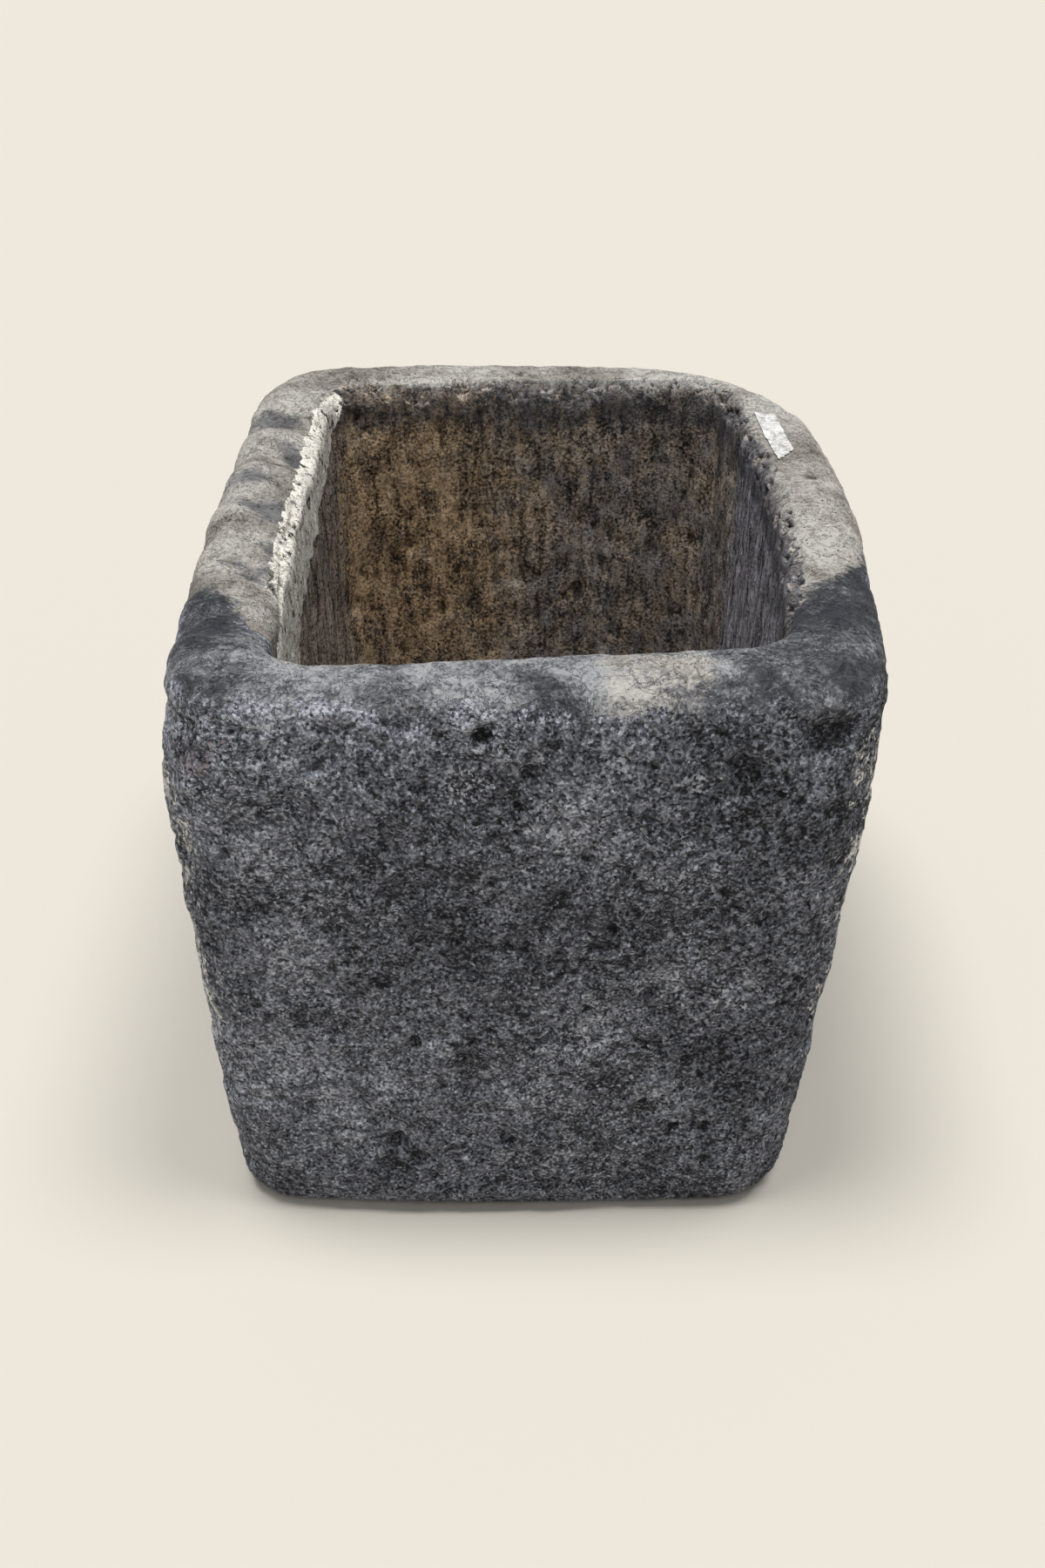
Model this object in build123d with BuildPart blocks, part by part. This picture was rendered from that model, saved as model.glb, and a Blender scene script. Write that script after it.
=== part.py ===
from build123d import *

import math
import os

# An old hand-carved limestone trough, used as a floor planter, with a blank paper
# tag stuck on its rim. Lengths are millimetres and +Z is up. The narrow front end
# faces -Y, and the origin lies on the ground under the middle of the trough.

# Block, wider at the shoulder than at the foot and hewn a little out of true
trough_length = 728
trough_width = 572
trough_height = 540
shoulder_height = 470
base_length = 656
base_width = 508
base_shift = 10
rim_draw_in = 8
flank_belly = 4

# Bows of the block's sides: how far a corner lies in from the middle of its side
front_bow = 9
left_bow = 8
right_bow_front = 32
right_bow_back = 22
back_bow_right = 40
back_bow_left = 11

# Rounds of the block's upright corners, of which the back right one opens upwards
front_left_radius = 60
front_right_radius = 70
back_right_radius = 204
back_right_foot_radius = 130
back_left_radius = 100

# Walls in the middle of each side at the rim, and the floor
front_wall = 72
back_wall = 88
left_wall = 86
right_wall = 80
floor_thickness = 95

# Hollow, which tapers down to the floor and bows like the block
hollow_taper = 14
hollow_front_bow_left = -8
hollow_front_bow_right = 14
hollow_right_bow = 22
hollow_left_bow = 3
hollow_back_bow = 5
hollow_corner_radius = 40
floor_round = 34

# Worn rim, with a slight tilt, a long wave and shallow scallops on its left side
outer_rim_round = 40
inner_rim_round = 21
rim_tilt = 5
rim_wave = 2.5
rim_wave_length = 300
scallop_depth = 3.5
scallop_pitch = 86

# Foot and drain
foot_round = 32
drain_radius = 19

# Paper tag on the right rim: its ends are torn aslant, so its outer edge is shorter
tag_width = 19
tag_length = 124
tag_near_tear = 28
tag_far_tear = 5
tag_thickness = 0.5
tag_bed = 0.3
tag_turn = 4
tag_off_middle = 17
tag_from_back = 228

# Working values
overcut = 60
crest_points = 48
thinnest_wall = min(front_wall + hollow_front_bow_left, back_wall, left_wall, right_wall)
outer_round = min(outer_rim_round, 0.65 * thinnest_wall)
inner_round = min(inner_rim_round, 0.34 * thinnest_wall)
bottom_round = min(foot_round, 0.6 * floor_thickness)
inside_round = min(floor_round, 0.85 * hollow_corner_radius)


def quad_plan(height, limits, insets, radii):
    """Outline with bowed sides and rounded corners.

    The limits run left, right, front and back, and each side touches its limit in
    the middle. The insets and radii run front left, front right, back right and
    back left.
    """
    left, right, front, back = limits
    middle_x, middle_y = (left + right) / 2, (front + back) / 2
    corners = (
        (left + insets[0][0], front + insets[0][1]),
        (right - insets[1][0], front + insets[1][1]),
        (right - insets[2][0], back - insets[2][1]),
        (left + insets[3][0], back - insets[3][1]),
    )
    middles = ((middle_x, front), (right, middle_y), (middle_x, back), (left, middle_y))
    with BuildSketch(Plane.XY.offset(height)) as plan:
        with BuildLine():
            for side in range(4):
                ThreePointArc(corners[side], middles[side], corners[(side + 1) % 4])
        make_face()
        for corner, radius in zip(corners, radii):
            fillet(plan.vertices().sort_by_distance((*corner, height))[0], radius)
    return plan.sketch


def block_plan(height):
    """Outline of the block at a height, widening up to the shoulder."""
    rise = min(height / shoulder_height, 1)
    above = max(height - shoulder_height, 0) / (trough_height - shoulder_height)
    swell = flank_belly * math.sin(math.pi * rise) - rim_draw_in * min(above, 1)
    half_width = (base_width + (trough_width - base_width) * rise) / 2 + swell
    half_length = (base_length + (trough_length - base_length) * rise) / 2 + swell
    lean = -base_shift * (1 - rise)
    limits = (lean - half_width, lean + half_width, -half_length, half_length)
    insets = (
        (left_bow, front_bow),
        (right_bow_front, front_bow),
        (right_bow_back, back_bow_right),
        (left_bow, back_bow_left),
    )
    opening_up = (back_right_radius - back_right_foot_radius) * rise
    radii = (
        front_left_radius,
        front_right_radius,
        back_right_foot_radius + opening_up,
        back_left_radius,
    )
    return quad_plan(height, limits, insets, radii)


def hollow_plan(height):
    """Outline of the hollow at a height, narrowing towards the floor."""
    depth = (trough_height - height) / (trough_height - floor_thickness)
    taper = hollow_taper * max(depth, 0)
    limits = (
        -trough_width / 2 + left_wall + taper,
        trough_width / 2 - right_wall - taper,
        -trough_length / 2 + front_wall + taper,
        trough_length / 2 - back_wall - taper,
    )
    insets = (
        (hollow_left_bow, hollow_front_bow_left),
        (hollow_right_bow, hollow_front_bow_right),
        (hollow_right_bow, hollow_back_bow),
        (hollow_left_bow, hollow_back_bow),
    )
    return quad_plan(height, limits, insets, (hollow_corner_radius,) * 4)


def rim_level(x, y):
    """Height of the worn rim over a point of the plan."""
    tilt = rim_tilt * x / trough_width
    wave = rim_wave * math.cos(2 * math.pi * y / rim_wave_length)
    leftness = min(max(-2 * x / trough_width - 0.2, 0), 1)
    scallop = scallop_depth * leftness * math.sin(2 * math.pi * y / scallop_pitch)
    return trough_height - rim_wave - rim_tilt / 2 + tilt + wave - scallop


def rim_face(body):
    """The worn top face of the trough, which runs round the mouth."""
    return body.faces().filter_by(lambda face: len(face.inner_wires()) == 1).sort_by(Axis.Z)[-1]


# Everything above the worn rim, lofted through crest lines that run front to back
with BuildPart() as rim_cutter:
    reach = trough_length / 2 + overcut
    lid = trough_height + 2 * overcut
    stations = []
    for share in (-1.2, -0.8, -0.4, 0, 0.6, 1.2):
        x = share * trough_width / 2
        crest_ys = [reach * (2 * step / crest_points - 1) for step in range(crest_points + 1)]
        crest = [(y, rim_level(x, y)) for y in crest_ys]
        with BuildSketch(Plane.YZ.offset(x)) as station:
            with BuildLine():
                Spline(*crest)
                Polyline(crest[-1], (reach, lid), (-reach, lid), crest[0])
            make_face()
        stations.append(station.sketch)
    loft(sections=stations)

with BuildPart() as stone_trough:
    top = trough_height + overcut
    block_heights = [shoulder_height * rise for rise in (0, 0.3, 0.65, 1)] + [top]
    loft(sections=[block_plan(height) for height in block_heights])
    hollow_heights = (floor_thickness, (floor_thickness + trough_height) / 2, top)
    loft(sections=[hollow_plan(height) for height in hollow_heights], mode=Mode.SUBTRACT)
    add(rim_cutter.part, mode=Mode.SUBTRACT)
    fillet(rim_face(stone_trough).outer_wire().edges(), outer_round)
    fillet(rim_face(stone_trough).inner_wires()[0].edges(), inner_round)
    fillet(stone_trough.faces().sort_by(Axis.Z)[0].edges(), bottom_round)
    level_faces = stone_trough.faces().filter_by(Plane.XY)
    fillet(level_faces.sort_by(Axis.Z)[-1].edges(), inside_round)
    with Locations((0, 0, floor_thickness)):
        Hole(radius=drain_radius, depth=floor_thickness)
stone_trough.part.label = "stone_trough"

# The tag takes the shape of the rim under it: its two faces are the stone's own face,
# lifted by the bed of paste for the lower one and by the paper as well for the upper
with BuildPart() as paper_tag:
    tag_x = trough_width / 2 - right_wall / 2 - tag_off_middle
    tag_y = trough_length / 2 - tag_from_back
    turn = math.radians(tag_turn)
    tag_plane = Plane(
        origin=(tag_x, tag_y, floor_thickness),
        x_dir=(math.cos(turn), math.sin(turn), 0),
        z_dir=(0, 0, 1),
    )
    with BuildSketch(tag_plane):
        with BuildLine():
            Polyline(
                (-tag_width / 2, -tag_length / 2),
                (tag_width / 2, -tag_length / 2 + tag_near_tear),
                (tag_width / 2, tag_length / 2 - tag_far_tear),
                (-tag_width / 2, tag_length / 2),
                close=True,
            )
        make_face()
    extrude(amount=trough_height)
    stone_at_upper_face = Pos(0, 0, tag_bed + tag_thickness) * stone_trough.part
    stone_at_lower_face = Pos(0, 0, tag_bed) * stone_trough.part
    add(stone_at_upper_face, mode=Mode.INTERSECT)
    add(stone_at_lower_face, mode=Mode.SUBTRACT)
paper_tag.part.label = "paper_tag"

os.makedirs("parts", exist_ok=True)
export_step(stone_trough.part, "parts/stone_trough.step")
export_step(paper_tag.part, "parts/paper_tag.step")
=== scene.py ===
"""Looks of a hand-carved limestone trough planter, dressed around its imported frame."""

import logging
import math
from dataclasses import dataclass, field
from enum import Enum

import bmesh
import bpy
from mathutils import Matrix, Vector, noise
from mathutils.bvhtree import BVHTree

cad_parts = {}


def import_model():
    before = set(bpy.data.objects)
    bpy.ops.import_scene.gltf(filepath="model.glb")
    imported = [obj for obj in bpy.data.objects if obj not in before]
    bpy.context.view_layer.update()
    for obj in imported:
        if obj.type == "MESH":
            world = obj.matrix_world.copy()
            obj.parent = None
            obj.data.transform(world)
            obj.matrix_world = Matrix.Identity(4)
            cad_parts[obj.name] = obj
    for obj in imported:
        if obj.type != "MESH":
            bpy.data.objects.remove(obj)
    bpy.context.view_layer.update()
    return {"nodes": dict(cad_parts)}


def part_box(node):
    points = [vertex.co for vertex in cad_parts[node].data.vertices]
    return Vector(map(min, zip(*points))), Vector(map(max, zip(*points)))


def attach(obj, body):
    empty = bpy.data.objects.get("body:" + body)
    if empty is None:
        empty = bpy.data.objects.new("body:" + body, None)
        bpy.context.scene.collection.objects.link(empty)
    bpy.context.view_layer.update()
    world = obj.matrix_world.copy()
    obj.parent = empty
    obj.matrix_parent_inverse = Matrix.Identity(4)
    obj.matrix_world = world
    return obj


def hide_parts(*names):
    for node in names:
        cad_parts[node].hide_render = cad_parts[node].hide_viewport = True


LOG = logging.getLogger("limestone_trough")
STONE_NODE = "stone_trough"
TAG_NODE = "paper_tag"

# What a zone holds wherever it doesn't reach
FAR_OUT = -0.05


class Zone(Enum):
    """Values that the stone's mesh holds at each point, for its finish to read.

    The first nine, down to the painted light on the flanks, are signed distances in metres,
    positive inside the zone. The others are the strength of the ochre stain, the shift in the
    rubbed rim's tone, how far a point lies under its neighbours, the share of the way down a
    scallop, and the strength of dents and of chips. The sunlit band of the left inner wall and
    the light on the flanks are painted light; the line along the groove, the band just below
    the rim, and the darkening where a point lies under its neighbours or in a dent are painted
    shade.
    """

    LIME = "zone_lime"
    BAND = "zone_band"
    HOLLOW = "zone_hollow"
    STRIP = "zone_painted_lit_strip"
    GROOVE_SHADE = "zone_groove_shade"
    PLUM = "zone_plum"
    RIM_SHADE = "zone_rim_shade"
    LILAC = "zone_lilac"
    SIDE_LIGHT = "zone_painted_side_light"
    OCHRE = "zone_ochre"
    RUBBED = "zone_rubbed"
    CAVITY = "zone_cavity"
    SCALLOP = "zone_scallop"
    DENT = "zone_dent"
    CHIP = "zone_chip"


def smooth(low: float, high: float, value: float) -> float:
    """Eased step from 0 at low to 1 at high.

    Args:
        low: Value where the step starts.
        high: Value where the step ends.
        value: Value to place on the step.

    Returns:
        Share of the step, from 0 to 1.
    """
    share = min(max((value - low) / (high - low), 0.0), 1.0)
    return share * share * (3.0 - 2.0 * share)


def along(stops: tuple, value: float) -> float:
    """Height of a line of straight stretches.

    Args:
        stops: Pairs of a place and a height, in rising places.
        value: Place to look up.

    Returns:
        Height at that place, which is level before the first stop and after the last.
    """
    if value <= stops[0][0]:
        return stops[0][1]
    for (low, first), (high, second) in zip(stops, stops[1:]):
        if value < high:
            return first + (second - first) * (value - low) / (high - low)
    return stops[-1][1]


def rough(point: Vector, scale: float, octaves: int = 3, shift: float = 0.0) -> float:
    """Fractal noise at a point.

    Args:
        point: Place in metres.
        scale: Lumps per metre.
        octaves: Layers of finer noise.
        shift: Offset that picks another pattern.

    Returns:
        Noise between about -1 and 1.
    """
    moved = Vector((point.x + shift, point.y - shift, point.z + 2.0 * shift)) * scale
    return noise.fractal(moved, 0.6, 2.1, octaves, noise_basis="PERLIN_ORIGINAL")


def scattered_pits(point: Vector, spacing: float, size: float, share: float) -> float:
    """Depth of scattered round pits.

    Args:
        point: Place in metres.
        spacing: Mean distance between pit centres.
        size: Greatest radius of a pit.
        share: Share of the centres that have a pit.

    Returns:
        Depth from 0 to 1.
    """
    distances, centres = noise.voronoi(point / spacing)
    chance = noise.cell(centres[0] * 37.0 + Vector((0.31, 0.17, 0.53)))
    if chance > share:
        return 0.0
    radius = size * (0.35 + 0.65 * chance / share)
    near = distances[0] * spacing / radius
    return max(0.0, 1.0 - near * near)


@dataclass(frozen=True)
class Lumps:
    """A layer of noise, by its height, its lumps per metre, its octaves and its pattern."""

    height: float
    scale: float
    octaves: int = 3
    pattern: float = 0.0

    def at(self, point: Vector) -> float:
        """Height of the layer at a point."""
        return self.height * rough(point, self.scale, self.octaves, self.pattern)


@dataclass(frozen=True)
class Pits:
    """A layer of round pits, by its depth, its spacing, its greatest radius and its share."""

    depth: float
    spacing: float
    radius: float
    share: float

    def at(self, point: Vector) -> float:
        """Height of the layer at a point, which is below zero in a pit."""
        return -self.depth * scattered_pits(point, self.spacing, self.radius, self.share)


def together(layers: tuple, point: Vector) -> float:
    """Sum of what some layers give at a point."""
    return sum(layer.at(point) for layer in layers)


@dataclass
class Graph:
    """A material's node tree, with short methods for the nodes that the finishes share."""

    material: bpy.types.Material

    def __post_init__(self) -> None:
        """Empty the tree and place the coordinates and the shader."""
        self.material.use_nodes = True
        self.tree = self.material.node_tree
        self.tree.nodes.clear()
        self.shader = self.tree.nodes.new("ShaderNodeBsdfPrincipled")
        output = self.tree.nodes.new("ShaderNodeOutputMaterial")
        self.join(self.shader.outputs[0], output.inputs[0])
        self.place = self.tree.nodes.new("ShaderNodeTexCoord").outputs["Object"]

    def join(self, source: bpy.types.NodeSocket, target: bpy.types.NodeSocket) -> None:
        """Link one socket to another."""
        self.tree.links.new(source, target)

    def feed(self, target: bpy.types.NodeSocket, value: object) -> None:
        """Link a socket, or set its default.

        Args:
            target: Input to feed.
            value: Socket to link, or a number or colour to set.
        """
        if isinstance(value, bpy.types.NodeSocket):
            self.join(value, target)
        else:
            target.default_value = value

    def stretch(self, scale: tuple) -> bpy.types.NodeSocket:
        """Object coordinates, scaled.

        Args:
            scale: Factor along each axis.

        Returns:
            The socket of the coordinates.
        """
        node = self.tree.nodes.new("ShaderNodeMapping")
        node.inputs["Scale"].default_value = scale
        self.join(self.place, node.inputs["Vector"])
        return node.outputs[0]

    def grain(
        self,
        scale: float,
        detail: float = 4.0,
        roughness: float = 0.6,
        place: object = None,
        distortion: float = 0.0,
    ) -> bpy.types.NodeSocket:
        """Fractal noise from 0 to 1.

        Args:
            scale: Lumps per metre.
            detail: Layers of finer noise.
            roughness: Strength of the finer layers.
            place: Coordinates to use in place of the object's own.
            distortion: Swirl of the pattern.

        Returns:
            The socket of the noise.
        """
        node = self.tree.nodes.new("ShaderNodeTexNoise")
        self.join(place or self.place, node.inputs["Vector"])
        node.inputs["Scale"].default_value = scale
        node.inputs["Detail"].default_value = detail
        node.inputs["Roughness"].default_value = roughness
        node.inputs["Distortion"].default_value = distortion
        return node.outputs["Fac"]

    def across(self) -> bpy.types.NodeSocket:
        """Place across the trough.

        Returns:
            The socket of the metres from the trough's middle towards the right.
        """
        node = self.tree.nodes.new("ShaderNodeSeparateXYZ")
        self.join(self.place, node.inputs[0])
        return node.outputs["X"]

    def cells(self, scale: float, output: str = "Distance") -> bpy.types.NodeSocket:
        """Cells round scattered points.

        Args:
            scale: Points per metre.
            output: "Distance" for the distance to the nearest point, or "Color" for its own tone.

        Returns:
            The socket of that output.
        """
        node = self.tree.nodes.new("ShaderNodeTexVoronoi")
        self.join(self.place, node.inputs["Vector"])
        node.inputs["Scale"].default_value = scale
        return node.outputs[output]

    def math(self, operation: str, first: object, second: object = 0.0) -> bpy.types.NodeSocket:
        """Arithmetic on one or two values.

        Args:
            operation: Name of the operation.
            first: Socket or number.
            second: Socket or number, which an operation on one value leaves out.

        Returns:
            The socket of the result.
        """
        node = self.tree.nodes.new("ShaderNodeMath")
        node.operation = operation
        self.feed(node.inputs[0], first)
        self.feed(node.inputs[1], second)
        return node.outputs[0]

    def blend(self, *parts: tuple) -> bpy.types.NodeSocket:
        """Weighted sum of sockets.

        Args:
            parts: Pairs of a socket and its weight.

        Returns:
            The socket of the sum.
        """
        total = None
        for socket, weight in parts:
            part = self.math("MULTIPLY", socket, weight)
            total = part if total is None else self.math("ADD", total, part)
        return total

    def step(
        self, value: object, low: float, high: float, bottom: float = 0.0, top: float = 1.0
    ) -> bpy.types.NodeSocket:
        """Eased step of a socket from one value to another.

        Args:
            value: Socket to step.
            low: Value where the step starts.
            high: Value where the step ends.
            bottom: Result before the step.
            top: Result after the step.

        Returns:
            The socket of the step.
        """
        node = self.tree.nodes.new("ShaderNodeMapRange")
        node.interpolation_type = "SMOOTHSTEP"
        self.feed(node.inputs["Value"], value)
        for name, number in zip(("From Min", "From Max", "To Min", "To Max"), (low, high, bottom, top)):
            node.inputs[name].default_value = number
        return node.outputs["Result"]

    def tones(self, value: object, stops: tuple) -> bpy.types.NodeSocket:
        """Colour ramp.

        Args:
            value: Socket of the place on the ramp.
            stops: Pairs of a place on the ramp and a linear colour.

        Returns:
            The socket of the colour.
        """
        node = self.tree.nodes.new("ShaderNodeValToRGB")
        self.join(value, node.inputs["Fac"])
        elements = node.color_ramp.elements
        while len(elements) < len(stops):
            elements.new(0.5)
        for element, (position, colour) in zip(elements, stops):
            element.position = position
            element.color = (*colour, 1.0)
        return node.outputs["Color"]

    def mix(
        self, share: object, first: object, second: object, blend: str = "MIX"
    ) -> bpy.types.NodeSocket:
        """Mix two colours.

        Args:
            share: Amount of the second colour.
            first: Socket, or a linear colour.
            second: Socket, or a linear colour.
            blend: Blend type of the mix.

        Returns:
            The socket of the mixed colour.
        """
        node = self.tree.nodes.new("ShaderNodeMix")
        node.data_type = "RGBA"
        node.blend_type = blend
        self.feed(node.inputs["Factor"], share)
        for name, colour in (("A", first), ("B", second)):
            socket = next(s for s in node.inputs if s.name == name and s.type == "RGBA")
            self.feed(socket, (*colour, 1.0) if isinstance(colour, tuple) else colour)
        return next(s for s in node.outputs if s.type == "RGBA")

    def cracks(self, scale: float, width: float, place: object = None) -> bpy.types.NodeSocket:
        """Thin wandering lines.

        Args:
            scale: Waves of the lines per metre.
            width: Share of the noise that a line takes up.
            place: Coordinates to use in place of the object's own.

        Returns:
            The socket that is 1 on a line and 0 away from it.
        """
        wave = self.grain(scale, 4.0, 0.65, place, 0.6)
        away = self.math("ABSOLUTE", self.math("SUBTRACT", wave, 0.5))
        return self.step(away, 0.0, width, 1.0, 0.0)

    def zone(self, zone: Zone) -> bpy.types.NodeSocket:
        """Value that the mesh holds for a zone.

        Args:
            zone: The zone to read.

        Returns:
            The socket of its value.
        """
        node = self.tree.nodes.new("ShaderNodeAttribute")
        node.attribute_name = zone.value
        return node.outputs["Fac"]

    def relief(self, height: object, depth: float, under: object = None) -> bpy.types.NodeSocket:
        """Bump from a height.

        Args:
            height: Socket of the height, from 0 to 1.
            depth: Metres that a height of 1 stands for.
            under: Socket of an earlier bump that this one is added to.

        Returns:
            The socket of the bumped normal.
        """
        node = self.tree.nodes.new("ShaderNodeBump")
        node.inputs["Strength"].default_value = 1.0
        node.inputs["Distance"].default_value = depth
        self.join(height, node.inputs["Height"])
        if under is not None:
            self.join(under, node.inputs["Normal"])
        return node.outputs["Normal"]


@dataclass(frozen=True)
class StoneFinish:
    """Weathered limestone: charcoal skin, pale worn rim, brown tooled hollow."""

    # Black of the darkest grain and cracks, also used as painted shade in holes and dents
    black_and_painted_shade: tuple = (0.006, 0.006, 0.007)
    charcoal_dark: tuple = (0.037, 0.040, 0.049)
    charcoal: tuple = (0.122, 0.130, 0.157)
    charcoal_pale: tuple = (0.270, 0.286, 0.340)
    fleck: tuple = (0.62, 0.64, 0.71)
    band_dark: tuple = (0.055, 0.057, 0.064)
    band: tuple = (0.135, 0.138, 0.150)
    band_light: tuple = (0.36, 0.365, 0.375)
    lime_dark: tuple = (0.14, 0.126, 0.107)
    lime_shade: tuple = (0.264, 0.2448, 0.2176)
    lime: tuple = (0.33, 0.306, 0.272)
    lime_light: tuple = (0.51, 0.49, 0.455)
    slate: tuple = (0.075, 0.080, 0.095)
    rust: tuple = (0.20, 0.125, 0.065)
    earth_dark: tuple = (0.050, 0.039, 0.030)
    earth: tuple = (0.215, 0.172, 0.132)
    earth_light: tuple = (0.54, 0.455, 0.37)
    ochre: tuple = (0.80, 0.52, 0.25)
    ash_dark: tuple = (0.070, 0.065, 0.065)
    ash: tuple = (0.32, 0.295, 0.29)
    plum_dark: tuple = (0.085, 0.085, 0.095)
    plum: tuple = (0.35, 0.345, 0.385)
    rose: tuple = (0.74, 0.68, 0.78)
    # Painted light: tones of the sunlit band on the left inner wall
    lit_strip_dark: tuple = (0.66, 0.58, 0.43)
    lit_strip: tuple = (0.92, 0.88, 0.80)
    # Painted light: palest tone of the lit flanks
    lit_flank_pale: tuple = (0.84, 0.83, 0.81)
    lilac: tuple = (0.42, 0.36, 0.40)
    speck: tuple = (0.010, 0.009, 0.008)
    worn_edge: tuple = (0.20, 0.20, 0.21)
    # Painted shade: tone multiplied in where the relief sinks
    cavity_shade: tuple = (0.16, 0.15, 0.14)
    roughness: float = 0.88
    sheen: float = 0.30
    crystals_per_metre: float = 430.0
    holes_per_metre: float = 170.0
    hole_patches_per_metre: float = 60.0

    def crystals(self, graph: Graph) -> bpy.types.NodeSocket:
        """Random tone of each crystal of the stone."""
        return graph.cells(self.crystals_per_metre, "Color")

    def charcoal_skin(self, graph: Graph) -> bpy.types.NodeSocket:
        """Salt-and-pepper charcoal of the outer walls, with painted shade in its small round holes and
        its dents.

        Args:
            graph: Node tree of the stone.

        Returns:
            The socket of the colour.
        """
        salt = self.crystals(graph)
        fine = graph.grain(400.0, 2.0, 0.6)
        crumb = graph.grain(150.0, 4.0, 0.65)
        patch = graph.grain(26.0, 5.0, 0.68, None, 0.8)
        cloud = graph.grain(7.0, 3.0, 0.6)
        tone = graph.blend((salt, 0.17), (fine, 0.29), (crumb, 0.18), (patch, 0.16), (cloud, 0.20))
        tone = graph.math("ADD", tone, graph.step(graph.across(), -0.22, 0.24, 0.028, -0.012))
        colour = graph.tones(
            tone,
            (
                (0.405, self.black_and_painted_shade),
                (0.450, self.charcoal_dark),
                (0.500, self.charcoal),
                (0.560, self.charcoal_pale),
                (0.630, self.fleck),
            ),
        )
        fresh = graph.blend((graph.grain(130.0, 5.0, 0.8), 0.6), (cloud, 0.4))
        chipped = graph.step(graph.zone(Zone.CHIP), 0.3, 1.0)
        fresh = graph.math("ADD", graph.step(fresh, 0.56, 0.59), chipped)
        fresh = graph.math("MULTIPLY", fresh, graph.step(salt, 0.45, 0.80, 0.0, 0.80))
        colour = graph.mix(fresh, colour, self.fleck)
        broken = graph.step(graph.grain(9.0, 3.0, 0.6), 0.44, 0.54)
        ledges = graph.cracks(26.0, 0.022, graph.stretch((0.8, 1.0, 1.5)))
        lines = graph.math("MULTIPLY", graph.math("MAXIMUM", graph.cracks(60.0, 0.030), ledges), broken)
        colour = graph.mix(graph.math("MULTIPLY", lines, 0.9), colour, self.black_and_painted_shade)
        # Painted shade: black in the dents of the front face
        dent_shade = graph.math("MULTIPLY", graph.zone(Zone.DENT), graph.step(crumb, 0.40, 0.60, 0.4, 1.3))
        colour = graph.mix(graph.step(dent_shade, 0.45, 1.1, 0.0, 0.70), colour, self.black_and_painted_shade)
        # Painted shade: black in the small round holes that the relief sinks
        holes = graph.step(graph.cells(self.holes_per_metre), 0.13, 0.19, 1.0, 0.0)
        patches = graph.step(graph.grain(self.hole_patches_per_metre, 3.0, 0.6), 0.53, 0.58)
        holes = graph.math("MULTIPLY", holes, patches)
        return graph.mix(graph.math("MULTIPLY", holes, 0.9), colour, self.black_and_painted_shade)

    def worn_band(self, graph: Graph) -> bpy.types.NodeSocket:
        """Rubbed grey of the front rim and its corners.

        Args:
            graph: Node tree of the stone.

        Returns:
            The socket of the colour.
        """
        streak = graph.grain(110.0, 4.0, 0.66, graph.stretch((0.6, 1.0, 1.3)))
        cloud = graph.grain(13.0, 3.0, 0.60, None, 0.9)
        fine = graph.grain(400.0, 2.0, 0.6)
        tone = graph.blend((streak, 0.24), (fine, 0.20), (cloud, 0.48), (self.crystals(graph), 0.08))
        colour = graph.tones(
            graph.math("ADD", tone, graph.zone(Zone.RUBBED)),
            (
                (0.390, self.charcoal_dark),
                (0.445, self.band_dark),
                (0.505, self.band),
                (0.600, self.band_light),
            ),
        )
        lines = graph.math("MULTIPLY", graph.cracks(36.0, 0.010), graph.step(cloud, 0.46, 0.56))
        return graph.mix(graph.math("MULTIPLY", lines, 0.85), colour, self.black_and_painted_shade)

    def lime_wash(self, graph: Graph) -> bpy.types.NodeSocket:
        """Pale warm rim with grey-blue clouds, brown stains and black specks.

        Args:
            graph: Node tree of the stone.

        Returns:
            The socket of the colour.
        """
        cloud = graph.grain(16.0, 3.0, 0.55, None, 0.5)
        fine = graph.grain(330.0, 3.0, 0.62)
        tone = graph.blend((cloud, 0.58), (fine, 0.34), (self.crystals(graph), 0.08))
        tone = graph.math("ADD", tone, graph.step(graph.across(), -0.22, -0.10, 0.0, 0.030))
        colour = graph.tones(
            tone,
            (
                (0.380, self.lime_dark),
                (0.440, self.lime_shade),
                (0.500, self.lime),
                (0.590, self.lime_light),
            ),
        )
        left = graph.step(graph.across(), -0.23, -0.12, 0.0, -0.09)
        blue = graph.math("ADD", graph.grain(17.0, 4.0, 0.6), left)
        blue = graph.math("ADD", blue, graph.math("MULTIPLY", graph.zone(Zone.SCALLOP), 0.13))
        colour = graph.mix(graph.step(blue, 0.55, 0.68, 0.0, 0.72), colour, self.slate)
        stain = graph.step(graph.grain(120.0, 5.0, 0.75), 0.60, 0.66, 0.0, 0.5)
        colour = graph.mix(stain, colour, self.rust)
        grit = graph.step(graph.grain(260.0, 3.0, 0.7), 0.37, 0.33, 0.0, 0.9)
        colour = graph.mix(grit, colour, self.speck)
        lines = graph.math("MULTIPLY", graph.cracks(45.0, 0.008), graph.step(cloud, 0.5, 0.4))
        return graph.mix(graph.math("MULTIPLY", lines, 0.8), colour, self.speck)

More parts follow.
